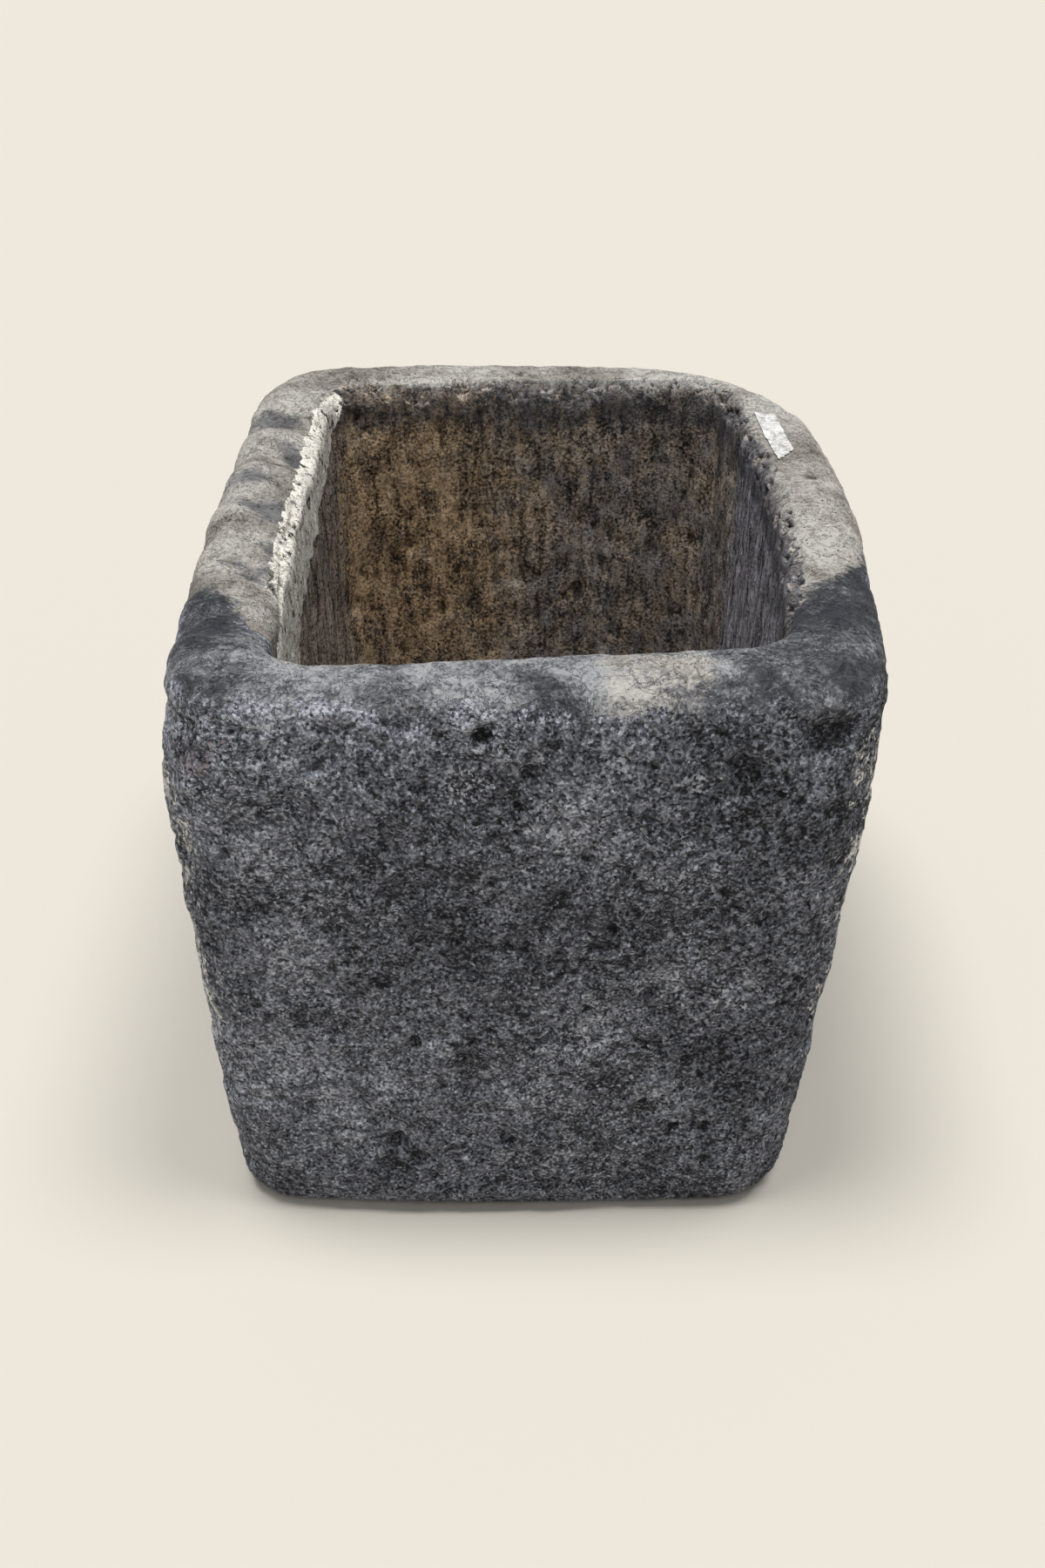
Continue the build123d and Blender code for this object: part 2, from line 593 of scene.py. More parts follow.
    def tooled_hollow(self, graph: Graph) -> bpy.types.NodeSocket:
        """Brown inner walls with upright tool streaks and ochre stains.

        Args:
            graph: Node tree of the stone.

        Returns:
            The socket of the colour.
        """
        streak = graph.grain(90.0, 5.0, 0.70, graph.stretch((1.0, 1.0, 0.20)))
        crumb = graph.grain(330.0, 3.0, 0.70)
        mottle = graph.grain(40.0, 6.0, 0.72)
        tone = graph.blend((streak, 0.30), (crumb, 0.40), (mottle, 0.22), (self.crystals(graph), 0.08))
        colour = graph.tones(
            tone,
            (
                (0.405, self.speck),
                (0.445, self.earth_dark),
                (0.490, self.earth),
                (0.550, self.earth_light),
            ),
        )
        ash = graph.tones(tone, ((0.41, self.speck), (0.45, self.ash_dark), (0.535, self.ash)))
        rightward = graph.step(graph.across(), -0.17, 0.12, -0.10, 0.03)
        grey = graph.math("ADD", graph.grain(24.0, 5.0, 0.7), rightward)
        colour = graph.mix(graph.step(grey, 0.44, 0.58, 0.0, 0.85), colour, ash)
        fleck = graph.math("MULTIPLY", graph.grain(42.0, 6.0, 0.75), 0.30)
        stain = graph.step(graph.math("ADD", graph.zone(Zone.OCHRE), fleck), 0.13, 0.25, 0.0, 0.60)
        rusty = graph.tones(tone, ((0.41, self.speck), (0.46, self.rust), (0.55, self.ochre)))
        colour = graph.mix(stain, colour, rusty)
        lines = graph.cracks(30.0, 0.008, graph.stretch((1.0, 1.0, 0.35)))
        return graph.mix(graph.math("MULTIPLY", lines, 0.75), colour, self.speck)

    def plum_wall(self, graph: Graph) -> bpy.types.NodeSocket:
        """Purple-grey fluting of the right inner wall.

        Args:
            graph: Node tree of the stone.

        Returns:
            The socket of the colour.
        """
        flute = graph.grain(150.0, 6.0, 0.75, graph.stretch((0.6, 1.0, 0.13)))
        crumb = graph.grain(330.0, 5.0, 0.78)
        tone = graph.blend((flute, 0.62), (crumb, 0.38))
        return graph.tones(
            tone,
            (
                (0.400, self.black_and_painted_shade),
                (0.450, self.plum_dark),
                (0.520, self.plum),
                (0.600, self.rose),
            ),
        )

    def painted_lit_strip(self, graph: Graph) -> bpy.types.NodeSocket:
        """Painted light: the sunlit upper band of the left inner wall, with black holes, whose lower edge
        is a painted shadow edge.

        Args:
            graph: Node tree of the stone.

        Returns:
            The socket of the colour.
        """
        crumb = graph.grain(240.0, 5.0, 0.70)
        colour = graph.tones(crumb, ((0.36, self.lit_strip_dark), (0.47, self.lit_strip)))
        coarse = graph.grain(95.0, 5.0, 0.8, graph.stretch((1.0, 1.0, 0.6)))
        return graph.mix(graph.step(coarse, 0.56, 0.585, 0.0, 0.95), colour, self.speck)

    def painted_side_light(self, graph: Graph) -> bpy.types.NodeSocket:
        """Painted light: bright tones where the skin of a flank turns to the side.

        Args:
            graph: Node tree of the stone.

        Returns:
            The socket of the colour.
        """
        return graph.tones(
            graph.grain(180.0, 6.0, 0.8),
            (
                (0.420, self.charcoal_dark),
                (0.460, self.band),
                (0.500, self.lime_light),
                (0.540, self.lit_flank_pale),
            ),
        )

    def bumps(self, graph: Graph) -> bpy.types.NodeSocket:
        """Fine relief: lumps, crumbs, small round holes and cracks.

        Args:
            graph: Node tree of the stone.

        Returns:
            The socket of the bumped normal.
        """
        lumps = graph.relief(graph.grain(60.0, 5.0, 0.65), 0.0030)
        crumbs = graph.relief(graph.grain(300.0, 4.0, 0.68), 0.0022, lumps)
        salt = graph.relief(graph.grain(650.0, 3.0, 0.7), 0.0010, crumbs)
        holes = graph.step(graph.cells(self.holes_per_metre), 0.10, 0.20)
        patches = graph.step(graph.grain(self.hole_patches_per_metre, 3.0, 0.6), 0.50, 0.55)
        holes = graph.math("MAXIMUM", holes, graph.math("SUBTRACT", 1.0, patches))
        holed = graph.relief(holes, 0.0018, salt)
        split = graph.math("SUBTRACT", 1.0, graph.cracks(52.0, 0.018))
        return graph.relief(split, 0.0014, holed)

    def build(self) -> bpy.types.Material:
        """Make the stone's material.

        Returns:
            The material, driven by object coordinates and the stone's zones.
        """
        material = bpy.data.materials.new("weathered_limestone")
        graph = Graph(material)
        wander = graph.math("SUBTRACT", graph.grain(36.0, 6.0, 0.7, None, 0.5), 0.5)
        crumb = graph.math("SUBTRACT", graph.grain(260.0, 4.0, 0.75), 0.5)

        def edge(zone: Zone, wide: float, narrow: float, soft: float) -> bpy.types.NodeSocket:
            """Ragged mask of a zone, from its distance and two sizes of noise."""
            ragged = graph.math("ADD", graph.zone(zone), graph.blend((wander, wide), (crumb, narrow)))
            return graph.step(ragged, -soft, soft)

        colour = self.charcoal_skin(graph)
        # Painted light on the skin of both flanks at the front, where it turns to the side
        colour = graph.mix(edge(Zone.SIDE_LIGHT, 0.18, 0.06, 0.002), colour, self.painted_side_light(graph))
        lilac = graph.math("MULTIPLY", edge(Zone.LILAC, 0.30, 0.20, 0.012), 0.75)
        colour = graph.mix(lilac, colour, self.lilac)
        colour = graph.mix(edge(Zone.BAND, 0.050, 0.015, 0.006), colour, self.worn_band(graph))
        colour = graph.mix(edge(Zone.LIME, 0.100, 0.05, 0.012), colour, self.lime_wash(graph))
        hollow = edge(Zone.HOLLOW, 0.022, 0.030, 0.0010)
        colour = graph.mix(hollow, colour, self.tooled_hollow(graph))
        colour = graph.mix(edge(Zone.PLUM, 0.10, 0.05, 0.02), colour, self.plum_wall(graph))
        # Painted shade: a darker band just below the rim on the right and back inner walls
        rim_shade = graph.math("MULTIPLY", edge(Zone.RIM_SHADE, 0.04, 0.03, 0.008), 0.62)
        colour = graph.mix(rim_shade, colour, self.charcoal_dark)
        # Painted light: the sunlit upper band of the left inner wall, down to a painted shadow edge
        lit_strip = edge(Zone.STRIP, 0.004, 0.006, 0.0006)
        colour = graph.mix(lit_strip, colour, self.painted_lit_strip(graph))
        # Painted shade: a dark line along the groove, under the rolled lip of the left rim
        groove = edge(Zone.GROOVE_SHADE, 0.004, 0.006, 0.0008)
        colour = graph.mix(graph.math("MULTIPLY", groove, 0.85), colour, self.speck)
        worn = graph.step(graph.zone(Zone.CAVITY), -0.0003, -0.0010, 0.0, 0.35)
        colour = graph.mix(worn, colour, self.worn_edge, "SCREEN")
        # Painted shade: darker where a point lies under its neighbours
        sunk_shade = graph.step(graph.zone(Zone.CAVITY), 0.0003, 0.0010, 0.0, 0.75)
        colour = graph.mix(sunk_shade, colour, self.cavity_shade, "MULTIPLY")
        graph.join(colour, graph.shader.inputs["Base Color"])
        graph.shader.inputs["Roughness"].default_value = self.roughness
        graph.shader.inputs["Specular IOR Level"].default_value = self.sheen
        graph.join(self.bumps(graph), graph.shader.inputs["Normal"])
        return material


@dataclass(frozen=True)
class PaperFinish:
    """Soiled white paper, pasted down and bare of any writing."""

    white: tuple = (0.74, 0.73, 0.71)
    soiled: tuple = (0.30, 0.295, 0.28)
    roughness: float = 0.7

    def build(self) -> bpy.types.Material:
        """Make the paper's material.

        Returns:
            The material, driven by object coordinates.
        """
        material = bpy.data.materials.new("soiled_paper")
        graph = Graph(material)
        dirt = graph.blend((graph.grain(130.0, 5.0, 0.7), 0.6), (graph.grain(700.0, 4.0, 0.7), 0.4))
        colour = graph.tones(dirt, ((0.42, self.soiled), (0.54, self.white)))
        graph.join(colour, graph.shader.inputs["Base Color"])
        graph.shader.inputs["Roughness"].default_value = self.roughness
        creases = graph.relief(graph.grain(160.0, 4.0, 0.65), 0.0022)
        fibres = graph.relief(graph.grain(900.0, 4.0, 0.7), 0.0004, creases)
        graph.join(fibres, graph.shader.inputs["Normal"])
        return material


@dataclass(frozen=True)
class FloorFinish:
    """Plain cream studio floor."""

    cream: tuple = (0.863, 0.814, 0.723)
    reflected: float = 0.635
    own_light: float = 0.035

    def build(self) -> bpy.types.Material:
        """Make the floor's material.

        Returns:
            The material, which has a little light of its own, like a light table.
        """
        material = bpy.data.materials.new("cream_floor")
        graph = Graph(material)
        pale = tuple(self.reflected * channel for channel in self.cream)
        graph.shader.inputs["Base Color"].default_value = (*pale, 1.0)
        graph.shader.inputs["Roughness"].default_value = 1.0
        graph.shader.inputs["Specular IOR Level"].default_value = 0.0
        graph.shader.inputs["Emission Color"].default_value = (*self.cream, 1.0)
        graph.shader.inputs["Emission Strength"].default_value = self.own_light
        return material


@dataclass(frozen=True)
class Gouge:
    """A dent or knocked-out pit in the front face, by its place, radius and depth."""

    x: float
    z: float
    radius: float
    depth: float

    def at(self, point: Vector) -> float:
        """Depth of the gouge, which has a ragged edge.

        Args:
            point: Place on the front face, in metres.

        Returns:
            Depth there, from 0 to the gouge's own.
        """
        reach = math.hypot(point.x - self.x, point.z - self.z) / self.radius
        reach += 0.45 * rough(point, 0.8 / self.radius, 2, self.x)
        return self.depth * smooth(1.15, 0.35, reach)


# Pits and dents of the front face, in metres
FRONT_GOUGES = (
    Gouge(-0.035, 0.502, 0.011, 0.0065),
    Gouge(-0.092, 0.518, 0.022, 0.0045),
    Gouge(-0.002, 0.470, 0.009, 0.0045),
    Gouge(-0.140, 0.505, 0.018, 0.0040),
    Gouge(0.041, 0.395, 0.008, 0.0045),
    Gouge(-0.012, 0.440, 0.007, 0.0040),
    Gouge(0.061, 0.325, 0.008, 0.0050),
    Gouge(-0.008, 0.310, 0.024, 0.0035),
    Gouge(0.042, 0.242, 0.006, 0.0055),
    Gouge(0.094, 0.130, 0.014, 0.0035),
    Gouge(0.118, 0.106, 0.007, 0.0050),
    Gouge(0.145, 0.106, 0.007, 0.0045),
    Gouge(-0.094, 0.205, 0.008, 0.0045),
    Gouge(-0.155, 0.480, 0.014, 0.0035),
    Gouge(0.158, 0.470, 0.020, 0.0040),
    Gouge(0.212, 0.500, 0.024, 0.0050),
    Gouge(-0.215, 0.420, 0.014, 0.0035),
    Gouge(0.182, 0.330, 0.015, 0.0035),
    Gouge(-0.110, 0.092, 0.012, 0.0030),
)

# Paler chipped patches of the front face, whose depth is a share from 0 to 1
FRONT_CHIPS = (
    Gouge(-0.047, 0.455, 0.026, 1.0),
    Gouge(0.117, 0.461, 0.013, 1.0),
    Gouge(-0.154, 0.247, 0.012, 0.9),
    Gouge(-0.058, 0.016, 0.020, 0.8),
    Gouge(0.014, 0.413, 0.010, 1.0),
    Gouge(0.116, 0.370, 0.024, 0.6),
    Gouge(0.060, 0.480, 0.016, 0.8),
    Gouge(-0.150, 0.400, 0.012, 0.8),
)


@dataclass(frozen=True)
class SideLight:
    """Painted light at the front end of a flank, where the skin turns to the side, by the places where it
    stops.

    The side is 1 on the right and -1 on the left. The edge is a distance from the middle of the
    trough that leans out with height. The facing is how squarely the skin faces the side.
    """

    side: float
    edge: float
    bottom: float
    top: float
    back: float
    facing: float
    lean: float = 0.0
    inset: float = 0.0

    def distance(self, point: Vector, normal: Vector) -> float:
        """Distance into the painted light.

        Args:
            point: Place on the finished stone, in metres.
            normal: Outward direction there.

        Returns:
            Signed distance in metres, positive inside the painted light.
        """
        outward = self.side * point.x - self.edge - self.lean * point.z
        upright = min(point.z - self.bottom, self.top - point.z)
        turned = 4.0 * (self.side * normal.x - self.facing)
        return min(outward, upright, self.back - point.y, turned) - self.inset


# Painted light where the flanks turn to the side, near the front
FLANK_LIGHTS = (
    SideLight(side=1.0, edge=0.233, bottom=0.215, top=0.468, back=-0.155, facing=0.55, lean=0.037),
    SideLight(side=-1.0, edge=0.258, bottom=0.18, top=0.46, back=-0.24, facing=0.65, inset=0.006),
)


@dataclass
class Trough:
    """The carved block: its hewn, pitted and worn mesh, and the zones of its skin."""

    lowest: Vector
    highest: Vector

    # Outline of the hollow's mouth, its floor, and how far its skin reaches past them
    hollow_left: float = -0.200
    hollow_right: float = 0.206
    hollow_front: float = -0.288
    hollow_back: float = 0.276
    hollow_right_bow: float = 0.022
    hollow_front_skew: float = 0.012
    hollow_corner: float = 0.040
    floor_level: float = 0.095
    lip_reach: float = 0.016
    floor_reach: float = 0.03

    # Mesh
    weld_distance: float = 1e-5
    voxel: float = 0.0029
    quick_voxel: float = 0.006
    triangle_limit: int = 197000

    # Hewn outer skin
    skin_loss: float = 0.0018
    base_blend: tuple = (0.016, 0.002)
    outer_lumps: tuple = (
        Lumps(0.0026, 6.0, 2),
        Lumps(0.0018, 24.0, 3, 3.0),
        Lumps(0.0008, 75.0, 3, 5.0),
    )
    outer_pits: Pits = Pits(0.0032, 0.038, 0.0062, 0.20)
    small_pits: Pits = Pits(0.0020, 0.017, 0.0036, 0.16)
    small_pit_stretch: float = 1.03
    spall_depth: float = 0.0013
    flake_depth: float = 0.0010
    ledge_depth: float = 0.0022
    ledge_wander: Lumps = Lumps(0.012, 11.0, 3, 9.0)
    worn_corner: tuple = (-0.275, -0.325)
    corner_spread: float = 0.0075
    corner_loss: float = 0.009

    # Front face and its chisel marks
    front_plane: float = -0.30
    front_drop: float = 0.012
    dent_strength: float = 220.0
    chisel_slope: float = 0.55
    chisel_pitch: float = 0.0145
    chisel_depth: float = 0.0011
    chisel_wander: Lumps = Lumps(1.6, 9.0, 2, 17.0)

    # Tooled inner skin
    flute_squash: float = 0.25
    flute_lumps: tuple = (Lumps(0.0022, 36.0), Lumps(0.0014, 90.0, 2, 4.0))
    inner_lumps: tuple = (Lumps(0.0018, 9.0, 2, 7.0), Lumps(0.0007, 70.0, 3, 8.0))
    inner_pits: Pits = Pits(0.0022, 0.030, 0.0050, 0.14)
    strip_pits: Pits = Pits(0.0018, 0.013, 0.0040, 0.30)

    # Worn rim and its scallops
    rim_blend: tuple = (0.040, 0.012)
    rim_lumps: tuple = (Lumps(0.0018, 14.0, 3, 2.0), Lumps(0.0007, 70.0, 3, 6.0))
    rim_pits: Pits = Pits(0.0022, 0.036, 0.0045, 0.15)
    scallop_places: tuple = (0.200, 0.120, 0.052, -0.010, -0.072, -0.132)
    scallop_width: float = 0.027
    scallop_depth: float = 0.0042
    scallop_slant: float = 0.45
    scallop_middle: float = -0.24

    # Rolled and grooved lip on the left, and the crumbled edge on the right and at the back
    roll_depth: float = 0.012
    lip_lean: float = 0.002
    groove_reach: float = 0.0045
    groove_depth: float = 0.0035
    groove_front: float = -0.235
    groove_back: float = 0.02
    # Half width of the painted shade line along the groove
    groove_shade_width: float = 0.0012
    crumbled_depth: float = 0.013
    crumbled_lumps: tuple = (Lumps(1.0, 46.0, 3, 11.0), Lumps(0.5, 130.0, 2, 12.0))

    # Drops of the groove and of the lower edge of the painted sunlit strip, which is a painted shadow
    # edge, at places from front to back
    groove_drops: tuple = (
        (-0.230, 0.060),
        (-0.201, 0.046),
        (-0.165, 0.031),
        (-0.118, 0.020),
        (-0.060, 0.014),
        (0.030, 0.013),
    )
    lit_strip_drops: tuple = (
        (-0.300, 0.235),
        (-0.101, 0.118),
        (-0.068, 0.094),
        (0.005, 0.083),
        (0.094, 0.070),
        (0.206, 0.060),
        (0.251, 0.036),
        (0.273, 0.006),
    )

    # Tone of the front rim, and where the pale rim starts, at places from left to right
    rubbed_tones: tuple = (
        (-0.270, -0.040),
        (-0.225, 0.000),
        (-0.170, 0.072),
        (-0.110, 0.055),
        (0.000, 0.030),
        (0.060, 0.050),
        (0.120, 0.030),
        (0.180, -0.045),
        (0.260, -0.055),
    )
    patina_starts: tuple = (
        (-0.275, -0.165),
        (-0.245, -0.185),
        (-0.200, -0.240),
        (0.195, -0.205),
        (0.225, -0.185),
        (0.245, -0.160),
        (0.270, -0.105),
    )

    # Other edges of the zones, as drops below the highest point, places and radii
    band_drop: float = 0.020
    lime_drop: float = 0.060
    rubbed_place: tuple = (0.085, -0.325)
    rubbed_radius: float = 0.042
    rubbed_inset: float = 0.006
    rubbed_fade: float = 0.05
    lilac_edge: float = -0.205
    lilac_drops: tuple = (0.012, 0.115)
    lilac_inset: float = 0.06
    hollow_lip: float = 0.012
    hollow_drop: float = 0.0095
    lit_strip_front: float = -0.31
    lit_strip_overlap: float = 0.002
    plum_drop: float = 0.020
    plum_middle: float = -0.02
    plum_half_length: float = 0.18
    rim_shade_drop: float = 0.026
    rim_shade_half_width: float = 0.020
    ochre_place: tuple = (-0.125, 0.36)
    ochre_reach: tuple = (0.16, 0.02)
    ochre_strength: float = 0.10
    finish: StoneFinish = field(default_factory=StoneFinish)

    def mouth(self, x: float, y: float) -> float:
        """Plan distance to the outline of the hollow's mouth, positive on the rim.

        Args:
            x: Place across, in metres.
            y: Place along, in metres.

        Returns:
            Signed distance in metres, negative over the hollow.
        """
        half_y = (self.hollow_back - self.hollow_front) / 2.0
        mid_y = (self.hollow_back + self.hollow_front) / 2.0
        bowed = min(abs(y - mid_y) / half_y, 1.2)
        right = self.hollow_right - self.hollow_right_bow * bowed * bowed
        front = self.hollow_front + self.hollow_front_skew * x / self.hollow_right
        half_x = (right - self.hollow_left) / 2.0 - self.hollow_corner
        half_y = (self.hollow_back - front) / 2.0 - self.hollow_corner
        away_x = abs(x - (right + self.hollow_left) / 2.0) - half_x
        away_y = abs(y - (self.hollow_back + front) / 2.0) - half_y
        outside = math.hypot(max(away_x, 0.0), max(away_y, 0.0))
        return outside + min(max(away_x, away_y), 0.0) - self.hollow_corner

    def is_inside(self, point: Vector, mouth: float) -> bool:
        """Whether a point of the skin lies in the hollow."""
        return mouth < self.lip_reach and point.z > self.floor_level - self.floor_reach

    def on_front(self, point: Vector, drop: float) -> bool:
        """Whether a point of the skin lies on the front face, below the rim."""
        return point.y < self.front_plane and drop > self.front_drop

    def outer_relief(self, point: Vector, drop: float) -> float:
        """Height of the hewn outer skin over the plain form.

        Args:
            point: Place on the plain form, in metres.
            drop: How far that is below the highest point.

        Returns:
            Height in metres.
        """
        height = together(self.outer_lumps, point)
        spall = rough(point, 15.0, 4, 13.0)
        spalled = self.spall_depth * smooth(0.04, 0.10, spall)
        height -= spalled + self.flake_depth * smooth(-0.22, -0.28, spall)
        height += self.outer_pits.at(point)
        height += self.small_pits.at(point * self.small_pit_stretch)
        height -= self.ledge_depth * smooth(0.016, 0.030, drop + self.ledge_wander.at(point))
        if self.on_front(point, drop):
            height -= together(FRONT_GOUGES, point)
            height -= self.chisel_marks(point)
        away_x = point.x - self.worn_corner[0]
        away_y = point.y - self.worn_corner[1]
        corner = math.exp(-(away_x**2 + away_y**2) / self.corner_spread)
        return height - self.corner_loss * corner * smooth(0.085, 0.02, drop)

    def chisel_marks(self, point: Vector) -> float:
        """Depth of the slanting chisel marks on the right of the front face.

        Args:
            point: Place on the front face, in metres.

        Returns:
            Depth in metres.
        """
        patch = smooth(0.04, 0.12, point.x) * smooth(0.10, 0.18, point.z) * smooth(0.42, 0.33, point.z)
        phase = (self.chisel_slope * point.x - point.z) / self.chisel_pitch + self.chisel_wander.at(point)
        return self.chisel_depth * patch * max(0.0, math.sin(2.0 * math.pi * phase))

    def inner_relief(self, point: Vector, drop: float) -> float:
        """Height of the tooled inner skin over the plain form.

        Args:
            point: Place on the plain form, in metres.
            drop: How far that is below the highest point.

        Returns:
            Height in metres.
        """
        fluted = Vector((point.x, point.y, point.z * self.flute_squash))
        height = together(self.flute_lumps, fluted) + together(self.inner_lumps, point)
        height += self.inner_pits.at(point)
        if point.x < -0.15 and point.y > -0.05 and drop < 0.10:
            height += self.strip_pits.at(point)
        return height

    def scallop(self, point: Vector) -> float:
        """How deep a point lies in the shallow scallops of the left rim.

        Args:
            point: Place on the rim, in metres.

        Returns:
            Share of the way down a scallop.
        """
        crossing = smooth(-0.185, -0.225, point.x) * smooth(-0.282, -0.245, point.x)
        slant = self.scallop_slant * (point.x - self.scallop_middle)
        share = 0.0
        for place in self.scallop_places:
            away = (point.y - place + slant) / self.scallop_width
            share += math.exp(-2.2 * away * away)
        return crossing * share

    def rim_relief(self, point: Vector) -> float:
        """Height of the worn rim over the plain form."""
        height = together(self.rim_lumps, point) + self.rim_pits.at(point)
        return height - self.scallop_depth * self.scallop(point)

    def edge_wear(self, point: Vector, mouth: float, drop: float) -> Vector:
        """How far the rim's inner edge has been rolled by ropes, grooved or crumbled.

        Args:
            point: Place on the plain form, in metres.
            mouth: Plan distance from there to the outline of the mouth.
            drop: How far that is below the highest point.

        Returns:
            Shift in metres.
        """
        wear = Vector((0.0, 0.0, 0.0))
        if point.x < -0.14 and -0.30 < point.y < 0.27:
            roll = smooth(0.060, 0.0, mouth) * smooth(-0.014, -0.004, mouth)
            stretch = smooth(-0.30, -0.20, point.y) * smooth(0.26, 0.12, point.y)
            wear.z -= self.roll_depth * roll * stretch * smooth(0.05, 0.0, drop)
            wear.x -= self.lip_lean * smooth(0.085, 0.005, drop) * smooth(0.024, 0.004, mouth)
            groove = abs(drop - along(self.groove_drops, point.y)) / self.groove_reach
            if mouth < 0.012 and point.y < 0.03:
                wear.x -= self.groove_depth * math.exp(-groove * groove)
        ragged = together(self.crumbled_lumps, point)
        near = smooth(0.020, 0.0, abs(mouth + 0.002)) * smooth(0.036, 0.008, drop)
        if near > 0.0 and (point.x > 0.12 or point.y > 0.22):
            chip = self.crumbled_depth * near * max(ragged - 0.05, 0.0)
            wear.z -= chip
            wear.x += chip if point.x > 0.12 else 0.0
        return wear

    def shape(self, point: Vector, normal: Vector) -> Vector:
        """Where a point of the plain form lies on the finished stone.

        Args:
            point: Place on the plain form, in metres.
            normal: Outward direction there.

        Returns:
            The place on the hewn, worn and pitted stone.
        """
        drop = self.highest.z - point.z
        mouth = self.mouth(point.x, point.y)
        rimness = smooth(*self.rim_blend, drop)
        if self.is_inside(point, mouth):
            height = self.inner_relief(point, drop)
        else:
            height = self.outer_relief(point, drop)
        if rimness > 0.0:
            height += rimness * (self.rim_relief(point) - height)
        if normal.z < -0.5 and point.z < 0.02:
            height += smooth(*self.base_blend, point.z) * (self.skin_loss - height)
        moved = point + normal * (height - self.skin_loss)
        if drop < 0.09:
            moved += self.edge_wear(point, mouth, drop)
        return moved

    def carve(self, node: bpy.types.Object) -> bpy.types.Object:
        """Make the finished stone from a copy of its plain form.

        Args:
            node: The plain form in the frame.

        Returns:
            The new object, at the origin.
        """
        mesh = bpy.data.meshes.new("hewn_trough")
        form = bmesh.new()
        form.from_mesh(node.data)
        bmesh.ops.remove_doubles(form, verts=form.verts, dist=self.weld_distance)
        form.to_mesh(mesh)
        form.free()
        piece = bpy.data.objects.new("hewn_trough", mesh)
        bpy.context.scene.collection.objects.link(piece)
        voxel = self.voxel
        self.apply_modifier(piece, "REMESH", {"mode": "VOXEL", "voxel_size": voxel})
        form = bmesh.new()
        form.from_mesh(piece.data)
        form.normal_update()
        for vertex in form.verts:
            place = self.shape(vertex.co.copy(), vertex.normal.copy())
            for axis in range(3):
                place[axis] = min(max(place[axis], self.lowest[axis]), self.highest[axis])
            vertex.co = place
        form.to_mesh(piece.data)
        form.free()
        triangles = 2 * len(piece.data.polygons)
        if triangles > self.triangle_limit:
            self.apply_modifier(piece, "DECIMATE", {"ratio": self.triangle_limit / triangles})
        return piece

    def apply_modifier(self, piece: bpy.types.Object, kind: str, settings: dict) -> None:
        """Put a modifier on a piece and make its result the piece's own mesh.

        Args:
            piece: Object to change.
            kind: Type of the modifier.
            settings: Names and values of the modifier's settings.
        """
        modifier = piece.modifiers.new(kind.lower(), kind)
        for name, value in settings.items():
            setattr(modifier, name, value)
        depsgraph = bpy.context.evaluated_depsgraph_get()
        result = bpy.data.meshes.new_from_object(piece.evaluated_get(depsgraph))
        piece.modifiers.clear()
        piece.data = result

    def zones(self, point: Vector, normal: Vector) -> dict:
        """Values of the stone's zones.

        Args:
            point: Place on the finished stone, in metres.
            normal: Outward direction there.

        Returns:
            A value for each zone, where the cavity's still has to be filled in.
        """
        drop = self.highest.z - point.z
        mouth = self.mouth(point.x, point.y)
        inside = self.is_inside(point, mouth)
        values = dict.fromkeys(Zone, FAR_OUT)
        lime = min(point.y - along(self.patina_starts, point.x), self.lime_drop - drop)
        rubbed_x, rubbed_y = self.rubbed_place
        rubbed = self.rubbed_radius - math.hypot(point.x - rubbed_x, (point.y - rubbed_y) * 1.4)
        rubbed = min(rubbed, self.band_drop - drop) - self.rubbed_inset
        values[Zone.LIME] = max(lime, rubbed)
        values[Zone.BAND] = self.band_drop - drop
        fade = self.rubbed_fade * smooth(-0.29, -0.24, point.y)
        values[Zone.RUBBED] = along(self.rubbed_tones, point.x) - fade
        lilac = min(drop - self.lilac_drops[0], self.lilac_drops[1] - drop)
        values[Zone.LILAC] = min(self.lilac_edge - point.x, lilac) - self.lilac_inset
        values[Zone.SIDE_LIGHT] = max(FAR_OUT, *(painted_side_light.distance(point, normal) for painted_side_light in FLANK_LIGHTS))
        values[Zone.SCALLOP] = self.scallop(point)
        if self.on_front(point, drop):
            values[Zone.DENT] = self.dent_strength * together(FRONT_GOUGES, point)
            values[Zone.CHIP] = together(FRONT_CHIPS, point)
        if mouth < 0.03:
            values[Zone.HOLLOW] = min(self.hollow_lip - mouth, drop - self.hollow_drop)
        # Painted light on the left inner wall: a sunlit band from the groove down to a painted shadow
        # edge
        if inside and point.x < -0.12 and normal.x > 0.2:
            groove = drop - along(self.groove_drops, point.y)
            lit_strip = min(along(self.lit_strip_drops, point.y) - drop, point.y - self.lit_strip_front)
            values[Zone.STRIP] = min(lit_strip, groove + self.lit_strip_overlap)
            values[Zone.HOLLOW] = min(values[Zone.HOLLOW], -lit_strip)
            values[Zone.LIME] = lit_strip if point.y > self.groove_front else FAR_OUT
            # Painted shade along the groove, under the rolled lip
            if self.groove_front < point.y < self.groove_back:
                values[Zone.GROOVE_SHADE] = self.groove_shade_width - abs(groove)
        # Painted shade in a band just below the rim, on the right and back inner walls
        rim_shade = self.rim_shade_half_width - abs(drop - self.rim_shade_drop)
        if inside and point.x > 0.10 and normal.x < -0.3:
            plum = self.plum_half_length - abs(point.y - self.plum_middle)
            values[Zone.PLUM] = min(drop - self.plum_drop, plum)
            values[Zone.RIM_SHADE] = rim_shade
        if inside and normal.y < -0.3 and point.y > 0.2:
            values[Zone.RIM_SHADE] = rim_shade
            ochre_x, ochre_z = self.ochre_place
            away = math.hypot(point.x - ochre_x, 0.6 * (point.z - ochre_z))
            values[Zone.OCHRE] = self.ochre_strength * smooth(*self.ochre_reach, away)
        return values

